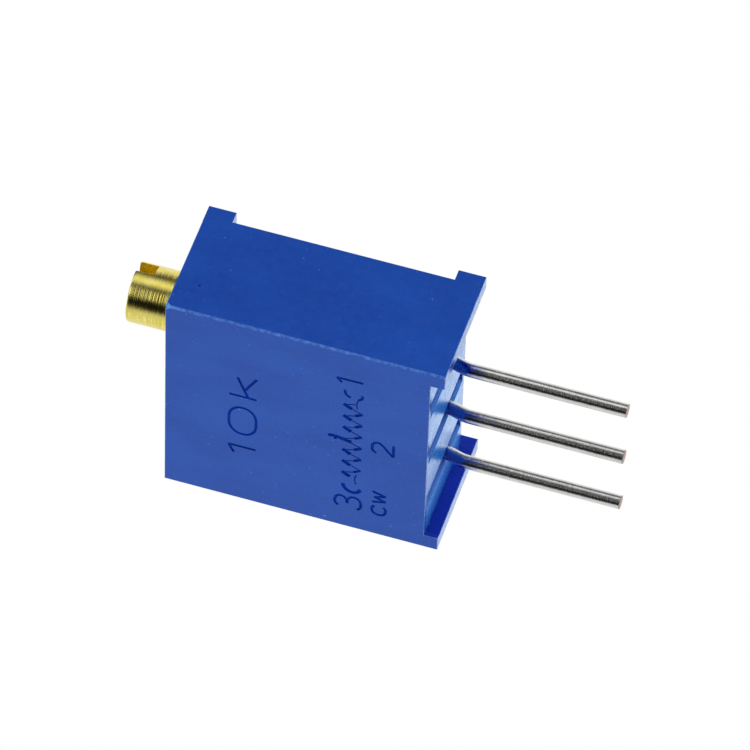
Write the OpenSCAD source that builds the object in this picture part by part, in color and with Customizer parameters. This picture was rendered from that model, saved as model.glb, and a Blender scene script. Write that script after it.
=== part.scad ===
// Multi-turn trimmer potentiometer, 3/8 inch square, screw in the top face, three leads in line.
//
// Z = 0 is the plane of the feet on the circuit board and +Z points to the adjustment screw.
// X runs along the row of leads, towards the side that holds the screw.
// Y = 0 is the plane of the three leads, and -Y is the flat front face.

/* [Housing] */
// Width of the housing along the row of leads
body_w = 9.53; // [7.9:0.01:12]
// Thickness of the housing from front face to back face, without the tabs
body_t = 4.37; // [3.6:0.01:5.6]
// Height from the feet to the top face
body_h = 10.15; // [8.4:0.01:13]
// Distance from the back face to the plane of the leads
lead_from_back = 1.955; // [1.62:0.005:2.4]
// Thickness of the two narrow side walls
side_wall = 0.59; // [0.45:0.01:0.7]
// Thickness of the front wall
front_wall = 0.45; // [0.35:0.01:0.55]
// Thickness of the top wall, which holds the screw's bearing and its seal
top_wall = 1.0; // [0.8:0.01:1.4]
// Height of the feet, which keep the lead end off the board
foot_h = 0.51; // [0.3:0.01:0.7]
// How much wider each foot is in the front wall than in the side wall
foot_step = 0.05; // [0.03:0.01:0.4]
// Small flat that breaks the sharp edges of the housing
edge_flat = 0.02; // [0.02:0.01:0.12]

/* [Back tabs] */
// How far each corner tab stands out of the back face
tab_proud = 0.46; // [0.2:0.01:1]
// Width of each corner tab
tab_w = 0.59; // [0.4:0.01:1.5]
// Height of each corner tab
tab_h = 1.01; // [0.6:0.01:2]

/* [Leads] */
// Diameter of the lead wire
lead_d = 0.51; // [0.42:0.01:0.61]
// Distance between neighbouring leads
lead_pitch = 2.54; // [2.1:0.01:3.1]
// Length of the leads below the feet
lead_len = 5.95; // [3:0.05:12]
// Bend radius of each lead, on the wire's axis
bend_r = 1.2; // [1:0.1:1.4]
// Length of the straight part between a lead's two bends, which leans towards the ceramic plate
lean_len = 1.7; // [1.5:0.05:2]
// Length of lead soldered to the ceramic plate
soldered_len = 0.95; // [0.7:0.05:1.3]
// Thickness of the solder around a lead
solder_t = 0.13; // [0.08:0.01:0.18]

/* [Base plate] */
// Thickness of the plate that closes the lead end
base_t = 0.8; // [0.66:0.01:1]
// Depth of the slot across the plate at each lead
slot_depth = 0.5; // [0.4:0.01:0.6]
// How far the sealing resin stays below the mouth of its slot
seal_drop = 0.2; // [0.05:0.01:0.3]
// Rim of the housing wall left around the plate
base_rim = 0.17; // [0.1:0.01:0.25]

/* [Adjustment screw] */
// Distance from the side face to the screw's axis
screw_from_side = 1.24; // [1.03:0.01:1.6]
// Distance from the front face to the screw's axis
screw_from_front = 1.27; // [1.05:0.01:1.53]
// Diameter of the slotted head
head_d = 2.18; // [1.8:0.01:2.6]
// How far the head stands above the top face
head_proud = 1.54; // [1:0.01:2.5]
// Break of the head's edges
head_flat = 0.07; // [0.02:0.01:0.15]
// Width of the screwdriver slot
driver_slot_w = 0.6; // [0.4:0.01:0.8]
// Depth of the screwdriver slot
driver_slot_depth = 0.7; // [0.4:0.01:0.9]
// Direction of the screwdriver slot in the rest position, in degrees
driver_slot_angle = 18.6; // [0:0.1:180]
// Diameter of the smooth journal in the top wall
journal_d = 1.45; // [1.2:0.01:1.74]
// Outer diameter of the lead screw
thread_d = 1.24; // [1.03:0.01:1.5]
// Diameter of the seal's groove
groove_d = 0.85; // [0.7:0.01:1.02]
// Diameter of the neck that the retaining clip holds
neck_d = 0.84; // [0.7:0.01:1.01]
// Diameter of the pilot that turns in the base plate
pilot_d = 0.8; // [0.66:0.01:0.96]
// Depth of the pilot in the base plate
pilot_depth = 0.25; // [0.15:0.01:0.28]

/* [Retaining clip] */
// Thickness of the clip
clip_t = 0.25; // [0.15:0.01:0.35]
// Length of the clip across the housing's corner
clip_len = 2.1; // [1.7:0.05:3]

/* [Ceramic plate] */
// Thickness of the ceramic plate
plate_t = 0.64; // [0.5:0.01:0.8]
// Thickness of the printed films
film_t = 0.04; // [0.02:0.01:0.06]
// Width of the resistive track and of the collector track
track_w = 1.0; // [0.6:0.05:1.2]
// Width of a solder pad
pad_w = 0.9; // [0.74:0.01:1.1]
// Width of the printed conductor lines
line_w = 0.4; // [0.3:0.01:0.5]

/* [Carriage and wiper] */
// Height of the carriage along the screw
carriage_h = 0.9; // [0.7:0.01:1.2]
// Wall of the half nut beside the screw
nut_wall = 0.16; // [0.1:0.01:0.3]
// Thickness of the wiper spring
wiper_t = 0.08; // [0.05:0.01:0.1]
// Number of fingers in each half of the wiper
finger_count = 4; // [2:1:5]
// Slit between two fingers
finger_slit = 0.06; // [0.04:0.01:0.1]

/* [Clearances] */
// Radial clearance of a running fit
run_gap = 0.02; // [0.01:0.005:0.04]
// Gap between the carriage and the wall it runs along
slide_gap = 0.035; // [0.02:0.005:0.06]
// Room left above and below the carriage at the ends of its travel
end_room = 0.17; // [0.1:0.005:0.5]
// Gap between the carriage and the leads behind it
lead_room = 0.32; // [0.2:0.01:0.45]
// Gap between the screw's head and the top face
head_gap = 0.03; // [0.02:0.01:0.1]
// Gap between the wiper's fingers and the printed films
contact_gap = 0.015; // [0.01:0.005:0.04]
// Gap between the seal and each side of its groove
seal_gap = 0.05; // [0.02:0.01:0.1]
// Gap between a lead and each side of its slot
slot_gap = 0.07; // [0.03:0.01:0.15]
// Gap between each side of the ceramic plate and its side wall
plate_gap = 0.12; // [0.05:0.01:0.2]

/* [Hidden] */

$fn = 48;
eps = 0.05;

// Faces of the housing
half_w = body_w / 2;
back_y = lead_from_back;
front_y = back_y - body_t;

// Leads, from the board up to the ceramic plate: lead 1 is next to the screw.
// They bend just below the feet, lean through the base plate and straighten at their pads.
lead_x = [lead_pitch, 0, -lead_pitch];
lean = atan2(7, 24);
bend_low = -0.3;
bend_rise = bend_r * sin(lean);
bend_shift = bend_r * (1 - cos(lean));
lean_low = bend_low + bend_rise;
lean_high = lean_low + lean_len * cos(lean);
solder_low = lean_high + bend_rise;
solder_web = 0.03;
solder_y = 2 * bend_shift + lean_len * sin(lean);

// Ceramic plate: its films lie behind the soldered ends of the leads
film_front = solder_y + lead_d / 2 + solder_web;
plate_front = film_front + film_t;

// The housing's cavity and the base plate that closes it
cavity_x = half_w - side_wall;
cavity_front = front_y + front_wall;
cavity_back = plate_front + plate_t;
cavity_top = body_h - top_wall;
base_top = foot_h + base_t;
slot_w = lead_d + 2 * slot_gap;

// Front of the leads where they come out of the base plate
lead_front = bend_shift + (base_top - lean_low) * tan(lean) - lead_d / (2 * cos(lean));

// Screw axis and the heights of its steps
screw_x = half_w - screw_from_side;
screw_y = front_y + screw_from_front;
bore_d = journal_d + 2 * run_gap;
nut_d = thread_d + 2 * run_gap;
head_low = body_h + head_gap;
head_top = body_h + head_proud;
seal_r = (bore_d - groove_d) / 4 - run_gap / 2;
seal_z = body_h - top_wall / 2;
clip_low = cavity_top - clip_t;
thread_low = base_top + 0.06;
pilot_low = base_top - pilot_depth;

// Carriage in the middle of its travel
travel = clip_low - base_top - carriage_h - 2 * end_room;
carriage_mid = (base_top + clip_low) / 2;
carriage_low = carriage_mid - carriage_h / 2;
carriage_front = cavity_front + slide_gap;
carriage_back = lead_front - lead_room;
nut_x = screw_x - nut_d / 2 - nut_wall;
arm_x = -0.95;
arm_t = 0.95;
runner_w = 0.5;

// Printed films: the resistive track is as long as the carriage's travel
track_x = lead_pitch / 2;
plate_top = cavity_top - 0.1;
pad_low = base_top + 0.24;
pad_top = solder_low + soldered_len + 0.1;
track_low = carriage_mid - travel / 2;
track_top = carriage_mid + travel / 2;
collector_top = track_top - 0.1;
cw_line_top = track_top + line_w;

// Ribs on the side walls that hold the ceramic plate against the back wall
rib_w = 0.25;
rib_t = 0.3;

module at_screw(z) {
    translate([screw_x, screw_y, z]) children();
}

// A box given by its lowest and highest corners
module box(low, high) {
    translate(low) cube([high[0] - low[0], high[1] - low[1], high[2] - low[2]]);
}

// A rectangle from low to high with its four corners cut by c
module cut_rectangle(low, high, c) {
    polygon([
        [low[0] + c, low[1]], [high[0] - c, low[1]], [high[0], low[1] + c], [high[0], high[1] - c],
        [high[0] - c, high[1]], [low[0] + c, high[1]], [low[0], high[1] - c], [low[0], low[1] + c]
    ]);
}

// The housing's outer block, with a small flat along its edges
module outer_block() {
    intersection() {
        linear_extrude(body_h) cut_rectangle([-half_w, front_y], [half_w, back_y], edge_flat);
        translate([0, back_y + eps, 0]) rotate([90, 0, 0]) linear_extrude(body_t + 2 * eps)
            cut_rectangle([-half_w, 0], [half_w, body_h], edge_flat);
        translate([-half_w - eps, 0, 0]) rotate([90, 0, 90]) linear_extrude(body_w + 2 * eps)
            cut_rectangle([front_y, 0], [back_y, body_h], edge_flat);
    }
}

module corner_tab(side, z) {
    x_low = side > 0 ? half_w - tab_w : -half_w;
    translate([x_low, 0, z]) linear_extrude(tab_h)
        cut_rectangle([0, back_y - 0.3], [tab_w, back_y + tab_proud], edge_flat);
}

module plate_ribs() {
    for (side = [-1, 1]) {
        x = side * (cavity_x - rib_w / 2 + eps / 2);
        box([x - rib_w / 2 - eps / 2, plate_front - rib_t, base_top],
            [x + rib_w / 2 + eps / 2, plate_front - run_gap, cavity_top + eps]);
    }
}

module housing() {
    color("royalblue") difference() {
        union() {
            outer_block();
            for (side = [-1, 1]) {
                corner_tab(side, 0);
                corner_tab(side, body_h - tab_h);
            }
        }
        difference() {
            box([-cavity_x, cavity_front, -eps], [cavity_x, cavity_back, cavity_top]);
            plate_ribs();
        }
        // seat of the base plate
        box([-cavity_x, front_y + base_rim, -eps], [cavity_x, back_y - base_rim, base_top]);
        // gap between the feet
        box([-cavity_x, cavity_front, -eps], [cavity_x, back_y, foot_h]);
        box([-cavity_x + foot_step, front_y - eps, -eps],
            [cavity_x - foot_step, cavity_front + eps, foot_h]);
        // bearing of the screw, and room for the lead screw beside the walls
        at_screw(cavity_top - eps) cylinder(d = bore_d, h = top_wall + 2 * eps);
        at_screw(base_top) cylinder(d = nut_d, h = cavity_top - base_top);
    }
}

module base_plate() {
    color("royalblue") difference() {
        box([-cavity_x, front_y + base_rim, foot_h], [cavity_x, back_y - base_rim, base_top]);
        for (x = lead_x) {
            box([x - slot_w / 2, front_y, foot_h - eps], [x + slot_w / 2, back_y, foot_h + slot_depth]);
            leaning_wire(x);
        }
        at_screw(pilot_low - run_gap) cylinder(d = pilot_d + 2 * run_gap, h = pilot_depth + 1);
    }
}

module end_seal() {
    color("mediumblue") for (x = lead_x) difference() {
        box([x - slot_w / 2, front_y + base_rim, foot_h + seal_drop],
            [x + slot_w / 2, back_y - base_rim, foot_h + slot_depth]);
        leaning_wire(x);
    }
}

module wire(length) {
    cylinder(d = lead_d, h = length);
}

// Bend of the wire: it starts upwards at the origin and ends at the lean towards the back
module bend() {
    rotate([90, 0, 90]) translate([bend_r, 0, 0]) mirror([1, 0, 0])
        rotate_extrude(angle = lean) translate([bend_r, 0]) circle(d = lead_d);
}

// The part of a lead between its two bends
module leaning_wire(x) {
    translate([x, bend_shift, lean_low]) rotate([-lean, 0, 0]) wire(lean_len);
}

module lead(x) {
    color("silver") {
        translate([x, 0, -lead_len]) wire(lead_len + bend_low);
        translate([x, 0, bend_low]) bend();
        leaning_wire(x);
        translate([x, solder_y, solder_low]) rotate([180, 0, 0]) bend();
        translate([x, solder_y, solder_low]) wire(soldered_len);
    }
}

module lead_1() { lead(lead_x[0]); }
module lead_2() { lead(lead_x[1]); }
module lead_3() { lead(lead_x[2]); }

// A fillet of solder that holds a lead on its pad
module solder_joint(x) {
    end_h = 0.2;
    end_r = lead_d / 2 + solder_web;
    mid_r = lead_d / 2 + solder_t;
    mid_h = soldered_len - 2 * end_h - 0.1;
    color("gainsboro") difference() {
        intersection() {
            translate([x, solder_y, solder_low + 0.05]) {
                cylinder(r1 = end_r, r2 = mid_r, h = end_h);
                translate([0, 0, end_h]) cylinder(r = mid_r, h = mid_h);
                translate([0, 0, end_h + mid_h]) cylinder(r1 = mid_r, r2 = end_r, h = end_h);
            }
            box([x - mid_r - eps, solder_y - mid_r - eps, pad_low],
                [x + mid_r + eps, film_front, pad_top]);
        }
        translate([x, solder_y, solder_low - eps]) cylinder(d = lead_d, h = soldered_len + 2 * eps);
    }
}

module solder_joint_1() { solder_joint(lead_x[0]); }
module solder_joint_2() { solder_joint(lead_x[1]); }
module solder_joint_3() { solder_joint(lead_x[2]); }

module ceramic_plate() {
    plate_x = cavity_x - plate_gap;
    color("whitesmoke") box([-plate_x, plate_front, base_top], [plate_x, cavity_back, plate_top]);
}

// A rectangle of printed film in the plane of the plate's front face
module film(x_low, z_low, x_high, z_high) {
    box([x_low, film_front, z_low], [x_high, plate_front, z_high]);
}

module pad(x) {
    film(x - pad_w / 2, pad_low, x + pad_w / 2, pad_top);
}

module resistive_track() {
    color("darkslategray")
        film(track_x - track_w / 2, track_low, track_x + track_w / 2, track_top);
}

module collector_track() {
    color("lightgray") {
        film(-track_x - track_w / 2, pad_low, -track_x + track_w / 2, collector_top);
        film(-track_x, pad_low, lead_x[1], pad_top);
        pad(lead_x[1]);
    }
}

module ccw_conductor() {
    color("lightgray") {
        film(track_x - track_w / 2, pad_low, lead_x[0], track_low);
        pad(lead_x[0]);
    }
}

module cw_conductor() {
    line_x = lead_x[2] - pad_w / 2;
    color("lightgray") {
        pad(lead_x[2]);
        film(line_x, pad_low, line_x + line_w, cw_line_top);
        film(line_x, track_top, track_x + track_w / 2, cw_line_top);
    }
}

// Half section of the screw, turned about its axis
module screw_section() {
    groove_low = seal_z - seal_r - seal_gap;
    groove_top = seal_z + seal_r + seal_gap;
    neck_low = clip_low - run_gap;
    neck_top = cavity_top + run_gap;
    lead_in = 0.08;
    polygon([
        [0, pilot_low], [pilot_d / 2 - lead_in, pilot_low], [pilot_d / 2, pilot_low + lead_in],
        [pilot_d / 2, thread_low], [thread_d / 2 - lead_in, thread_low],
        [thread_d / 2, thread_low + lead_in], [thread_d / 2, neck_low - lead_in],
        [thread_d / 2 - lead_in, neck_low], [neck_d / 2, neck_low],
        [neck_d / 2, neck_top], [journal_d / 2, neck_top],
        [journal_d / 2, groove_low], [groove_d / 2, groove_low], [groove_d / 2, groove_top],
        [journal_d / 2, groove_top], [journal_d / 2, head_low], [head_d / 2 - head_flat, head_low],
        [head_d / 2, head_low + head_flat], [head_d / 2, head_top - head_flat],
        [head_d / 2 - head_flat, head_top], [0, head_top]
    ]);
}

module adjustment_screw() {
    color("goldenrod") difference() {
        at_screw(0) rotate_extrude() screw_section();
        at_screw(head_top - driver_slot_depth) rotate([0, 0, driver_slot_angle])
            translate([-head_d, -driver_slot_w / 2, 0])
                cube([2 * head_d, driver_slot_w, driver_slot_depth + eps]);
    }
}

module o_ring() {
    color("dimgray") at_screw(seal_z) rotate_extrude()
        translate([groove_d / 2 + seal_r, 0]) circle(r = seal_r);
}

module retaining_clip() {
    half_slot = neck_d / 2 + run_gap;
    clip_x = cavity_x - clip_len;
    clip_back = screw_y + (screw_y - cavity_front);
    color("khaki") difference() {
        box([clip_x, cavity_front, clip_low], [cavity_x, clip_back, cavity_top]);
        at_screw(clip_low - eps) cylinder(r = half_slot, h = clip_t + 2 * eps);
        box([clip_x - eps, screw_y - half_slot, clip_low - eps],
            [screw_x, screw_y + half_slot, cavity_top + eps]);
    }
}

// Slider: a half nut on the screw, an arm in front of the wiper and a runner on the front wall
module carriage() {
    high = carriage_low + carriage_h;
    arm_front = carriage_back - arm_t;
    color("ivory") difference() {
        union() {
            box([nut_x, carriage_front, carriage_low], [screw_x, carriage_back, high]);
            box([arm_x, arm_front, carriage_low], [nut_x + eps, carriage_back, high]);
            box([arm_x, carriage_front, carriage_low], [arm_x + runner_w, arm_front + eps, high]);
        }
        at_screw(carriage_low - eps) cylinder(d = nut_d, h = carriage_h + 2 * eps);
    }
}

// Unit vector from a to b, and the normal on its left
function along(a, b) = (b - a) / norm(b - a);
function left_of(v) = [-v[1], v[0]];

// Outline of a strip of thickness t, whose right side follows the points of path
function strip_side(path, t) = [
    for (i = [0 : len(path) - 1])
        let (
            before = along(path[max(i - 1, 0)], path[max(i, 1)]),
            after = along(path[min(i, len(path) - 2)], path[min(i + 1, len(path) - 1)]),
            n = left_of(before) + left_of(after)
        )
        path[i] + n * (2 * t / (n * n))
];

// Spring with two sets of fingers that press on the tracks
module wiper() {
    base_y = carriage_back;
    tip_y = film_front - contact_gap;
    grip_x = 0.45;
    heel = 0.22;
    half_path = [
        [track_x + heel, tip_y - 0.2], [track_x + heel / 2, tip_y - 0.03],
        [track_x, tip_y], [track_x - heel, tip_y - 0.08], [grip_x, base_y + wiper_t]
    ];
    path = concat(half_path, [for (i = [len(half_path) - 1 : -1 : 0]) [-half_path[i][0], half_path[i][1]]]);
    other_side = strip_side(path, wiper_t);
    wiper_h = carriage_h - 0.12;
    low = carriage_mid - wiper_h / 2;
    finger_h = (wiper_h - (finger_count - 1) * finger_slit) / finger_count;
    color("burlywood") difference() {
        translate([0, 0, low]) linear_extrude(wiper_h)
            polygon(concat(path, [for (i = [len(path) - 1 : -1 : 0]) other_side[i]]));
        for (i = [1 : finger_count - 1], side = [-1, 1]) {
            z = low + i * (finger_h + finger_slit) - finger_slit;
            x = side * (grip_x + 0.1 + track_x / 2);
            box([x - track_x / 2, base_y - eps, z], [x + track_x / 2, tip_y + eps, z + finger_slit]);
        }
    }
}

housing();
base_plate();
end_seal();
lead_1();
lead_2();
lead_3();
solder_joint_1();
solder_joint_2();
solder_joint_3();
ceramic_plate();
resistive_track();
collector_track();
ccw_conductor();
cw_conductor();
adjustment_screw();
o_ring();
retaining_clip();
carriage();
wiper();
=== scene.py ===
import math

import bmesh
import bpy
from mathutils import Matrix, Vector


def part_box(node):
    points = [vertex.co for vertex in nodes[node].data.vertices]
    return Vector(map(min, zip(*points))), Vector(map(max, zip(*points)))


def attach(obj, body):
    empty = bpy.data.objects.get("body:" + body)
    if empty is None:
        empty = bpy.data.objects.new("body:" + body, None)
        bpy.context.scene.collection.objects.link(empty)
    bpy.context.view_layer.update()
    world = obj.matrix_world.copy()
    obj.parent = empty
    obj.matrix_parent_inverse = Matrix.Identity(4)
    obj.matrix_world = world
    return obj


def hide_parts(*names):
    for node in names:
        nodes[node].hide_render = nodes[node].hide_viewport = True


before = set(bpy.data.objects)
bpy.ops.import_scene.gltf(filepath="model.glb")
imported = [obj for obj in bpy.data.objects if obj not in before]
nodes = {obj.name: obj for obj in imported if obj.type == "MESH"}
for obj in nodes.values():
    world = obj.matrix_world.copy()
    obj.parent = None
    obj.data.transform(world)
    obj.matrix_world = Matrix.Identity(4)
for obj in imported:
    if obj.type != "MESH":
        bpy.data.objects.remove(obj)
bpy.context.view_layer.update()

MM = 0.001
UP = Vector((0, 0, 1))
SAME = 0.01  # places that are this near (mm) count as one
LEAD_LEAN = 7, 24  # the leads lean 7 in 24 between their bends


def place_object(name, data):
    """A new object of the scene that holds the data."""
    made = bpy.data.objects.new(name, data)
    bpy.context.scene.collection.objects.link(made)
    return made


# ---------------------------------------------------------------- camera

# where the camera stands (mm), what it looks along, what is up for it, and its lens
CAMERA_PLACE = Vector((216.2406, -170.5260, -45.7051))
CAMERA_FORWARD = Vector((-0.77178201, 0.61123894, 0.17532677)).normalized()
CAMERA_UPWARD = Vector((0.63545049, 0.73113997, 0.24826803)).normalized()
LENS, SENSOR_WIDTH, CLIP_START = 382.607, 36, 0.01


def place_camera():
    """A long lens, a little below the leads, that looks past the screw side."""
    sideways = CAMERA_FORWARD.cross(CAMERA_UPWARD)
    turn = Matrix((sideways, CAMERA_UPWARD, -CAMERA_FORWARD)).transposed().to_4x4()
    camera = place_object("camera", bpy.data.cameras.new("camera"))
    camera.matrix_world = Matrix.Translation(CAMERA_PLACE * MM) @ turn
    camera.data.sensor_width = SENSOR_WIDTH
    camera.data.lens = LENS
    camera.data.clip_start = CLIP_START
    bpy.context.scene.camera = camera


place_camera()


# ---------------------------------------------------------------- node helpers

# nearly all values of a noise lie between these two
NOISE_RANGE = 0.3, 0.7


def add(tree, kind, inputs=(), **settings):
    """A new node with its settings, and its input sockets by name or number."""
    made = tree.nodes.new(kind)
    for key, value in settings.items():
        setattr(made, key, value)
    for socket, value in dict(inputs).items():
        if isinstance(value, bpy.types.NodeSocket):
            tree.links.new(value, made.inputs[socket])
        else:
            made.inputs[socket].default_value = value
    return made


def math_node(tree, operation, a, b=0.0):
    return add(tree, "ShaderNodeMath", {0: a, 1: b}, operation=operation).outputs[0]


def axes(tree, place):
    """The X, Y and Z of a place."""
    return add(tree, "ShaderNodeSeparateXYZ", {0: place}).outputs


def off_axis(tree, x, y):
    """How far a place is from the upright axis."""
    flat = add(tree, "ShaderNodeCombineXYZ", {0: x, 1: y}).outputs[0]
    return add(tree, "ShaderNodeVectorMath", {0: flat}, operation="LENGTH").outputs["Value"]


def millimetres(tree, centre=(0, 0, 0), stretch=(1, 1, 1)):
    """Object coordinates in millimetres, seen from a centre and stretched."""
    place = add(tree, "ShaderNodeTexCoord").outputs["Object"]
    scale = [1000 * s for s in stretch]
    shift = [-c * s for c, s in zip(centre, stretch)]
    return add(tree, "ShaderNodeMapping",
               {"Vector": place, "Location": shift, "Scale": scale}).outputs[0]


def noise(tree, vector, scale, detail=3.0, rough=0.55):
    return add(tree, "ShaderNodeTexNoise",
               {"Vector": vector, "Scale": scale, "Detail": detail, "Roughness": rough}).outputs["Fac"]


def noise_line(tree, along, scale, detail=3.0, rough=0.6):
    """Noise that varies along one value only, as turning marks do."""
    return add(tree, "ShaderNodeTexNoise", {"W": along, "Scale": scale, "Detail": detail,
               "Roughness": rough}, noise_dimensions="1D").outputs["Fac"]


def spread(tree, value, low, high, to_low=0.0, to_high=1.0):
    """Maps low to to_low and high to to_high, and stops at both."""
    return add(tree, "ShaderNodeMapRange", {"Value": value, "From Min": low, "From Max": high,
               "To Min": to_low, "To Max": to_high}).outputs["Result"]


def spread_noise(tree, value, to_low=0.0, to_high=1.0):
    """Maps the usual range of a noise to another range."""
    return spread(tree, value, *NOISE_RANGE, to_low, to_high)


def blend_colour(tree, share, first, second):
    """Goes from the first colour to the second as the share rises."""
    return add(tree, "ShaderNodeMix", {0: share, 6: first, 7: second}, data_type="RGBA").outputs[2]


def bump(tree, height, strength, depth_mm, normal=None):
    inputs = {"Height": height, "Strength": strength, "Distance": depth_mm * MM}
    if normal is not None:
        inputs["Normal"] = normal
    return add(tree, "ShaderNodeBump", inputs).outputs["Normal"]


def rgb(red, green, blue):
    return (red, green, blue, 1.0)


def new_finish(name, **fixed):
    """A material with its Principled shader; fixed values go on the shader's own sockets."""
    finish = bpy.data.materials.new(name)
    finish.use_nodes = True
    tree = finish.node_tree
    shader = tree.nodes["Principled BSDF"]
    for key, value in fixed.items():
        shader.inputs[key.replace("_", " ")].default_value = value
    return finish, tree, shader


def connect(tree, shader, colour=None, roughness=None, normal=None):
    for socket, value in (("Base Color", colour), ("Roughness", roughness), ("Normal", normal)):
        if value is not None:
            tree.links.new(value, shader.inputs[socket])


# ---------------------------------------------------------------- finishes

# blues of the moulding, each as a deep and a pale tone
BODY_BLUES = rgb(0.0032, 0.044, 0.320), rgb(0.0054, 0.060, 0.382)
PLATE_BLUES = rgb(0.0150, 0.135, 0.480), rgb(0.0240, 0.175, 0.570)
# painted light: a pale blue on the base plate's slot walls, which lie in shade
SLOT_WALL_LIGHT_BLUES = rgb(0.085, 0.215, 0.640), rgb(0.110, 0.260, 0.740)
# painted shade: a deeper blue in the sunk marks and in the pit
RECESS_SHADE_BLUES = rgb(0.0030, 0.038, 0.350), rgb(0.0042, 0.050, 0.430)
# painted shade: a deeper, less green blue for the inner faces of the side walls, as lit only by blue light
# from the walls
INNER_SHADE_BLUES = rgb(0.0065, 0.025, 0.350), rgb(0.0090, 0.034, 0.420)
TORN_BLUES = rgb(0.03, 0.18, 0.62), rgb(0.13, 0.38, 0.82)
# pale blue of the filler specks, of wear, and of the painted highlight on the rounded edges
PALE_WEAR_AND_HIGHLIGHT_BLUE = rgb(0.16, 0.30, 0.74)
SKIN_TINT = rgb(0.63, 1.0, 1.0)

# index of refraction, which sets the gloss: of the body, the base plate, the marks and the inner walls
BODY_IOR, PLATE_IOR, MARK_IOR, INNER_IOR = 1.41, 1.31, 1.08, 1.2

# pale filler specks: the part of a noise that shows as specks, and how pale they get
SPECK_RANGE, SPECK_PALE = (0.72, 0.765), 0.55

# the corner of the housing that is worn most, and how far the extra wear reaches (mm)
WORN_CORNER, WORN_REACH = (4.765, -2.415, 10.15), (0.25, 0.75)

# painted shade on the base plate beside lead 3's wall, where plate and wall meet in a fillet: tone at the
# slot and at the wall, the X where it sets in, and the X between which one tone turns to the other (mm)
FILLET_SHADE_BLUES = rgb(0.048, 0.190, 0.610), rgb(0.015, 0.115, 0.460)
FILLET_SHADE_START, FILLET_SHADE_FADE = (-2.8, -2.95), (-3.1, -4.1)

RESIN_BLUES = rgb(0.045, 0.095, 0.37), rgb(0.065, 0.130, 0.47)
TIN_GREYS = rgb(0.66, 0.655, 0.64), rgb(0.78, 0.775, 0.76)
COPPER_BROWNS = rgb(0.46, 0.22, 0.11), rgb(0.42, 0.34, 0.31)

# painted reflection of the blue base plate on the leads' roots, under a glossy coat: its colour, the Z
# between which it sets in (mm), how much its patches shift that, and how little is left of it behind the
# wire's axis (places from the axis in mm)
ROOT_REFLECTION_BLUE = rgb(0.07, 0.12, 0.46)
REFLECTION_RISE, REFLECTION_PATCHES = (-0.45, 0.35), 0.9
REFLECTION_BACK, REFLECTION_LEFT = (-0.05, 0.025), 0.08
# the leaning wire's axis: the Z where it would meet the straight end's axis, and its slope
AXIS_LEAVES, AXIS_SLOPE = -0.129, LEAD_LEAN[0] / LEAD_LEAN[1]


def moulded_blue(name, wear_and_highlight=0.0, tones=BODY_BLUES, gloss_ior=BODY_IOR, fillet_shade=False):
    """Blue thermoset with a fine satin skin, faint flow marks and pale filler specks."""
    finish, tree, shader = new_finish(name, IOR=gloss_ior, Specular_Tint=SKIN_TINT)
    place = millimetres(tree)
    flow = noise(tree, millimetres(tree, stretch=(1, 1, 0.45)), scale=0.55, detail=4.0, rough=0.6)
    colour = blend_colour(tree, spread_noise(tree, flow), *tones)
    grain = noise(tree, place, scale=16.0, rough=0.6)
    speck = spread(tree, noise(tree, place, scale=9.0, detail=2.0, rough=0.5), *SPECK_RANGE)
    colour = blend_colour(tree, math_node(tree, "MULTIPLY", speck, SPECK_PALE), colour, PALE_WEAR_AND_HIGHLIGHT_BLUE)
    # the edges turn pale, evenly and in patches: wear, and a painted highlight
    if wear_and_highlight:
        pale_share = noise(tree, place, scale=5.5, detail=5.0, rough=0.7)
        from_corner = add(tree, "ShaderNodeVectorMath", {0: place, 1: WORN_CORNER},
                          operation="DISTANCE").outputs["Value"]
        extra = spread(tree, from_corner, *WORN_REACH, to_low=0.2, to_high=0.0)
        pale_share = spread(tree, math_node(tree, "ADD", pale_share, extra), 0.42, 0.62, to_low=0.25)
        colour = blend_colour(tree, math_node(tree, "MULTIPLY", pale_share, wear_and_highlight), colour, PALE_WEAR_AND_HIGHLIGHT_BLUE)
    # painted shade: pale blue at lead 3's slot, turning deep towards the wall
    if fillet_shade:
        across = axes(tree, place)[0]
        shade_tone = blend_colour(tree, spread(tree, across, *FILLET_SHADE_FADE), *FILLET_SHADE_BLUES)
        colour = blend_colour(tree, spread(tree, across, *FILLET_SHADE_START), colour, shade_tone)
    cloud = noise(tree, place, scale=3.0, detail=4.0, rough=0.65)
    skin = bump(tree, grain, strength=0.35, depth_mm=0.004)
    swell = noise(tree, place, scale=0.9, detail=2.0, rough=0.5)
    waves = bump(tree, swell, strength=0.5, depth_mm=0.012, normal=skin)
    connect(tree, shader, colour, spread_noise(tree, cloud, 0.22, 0.34), waves)
    return finish


def cast_resin():
    """Blue sealing resin that has set with a glossy, slightly sunken skin."""
    finish, tree, shader = new_finish("blue_resin", IOR=1.55)
    place = millimetres(tree)
    colour = blend_colour(tree, noise(tree, place, scale=1.4), *RESIN_BLUES)
    roughness = spread_noise(tree, noise(tree, place, scale=4.0), 0.18, 0.34)
    swell = bump(tree, noise(tree, place, scale=2.2), strength=0.6, depth_mm=0.02)
    connect(tree, shader, colour, roughness, swell)
    return finish


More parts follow.
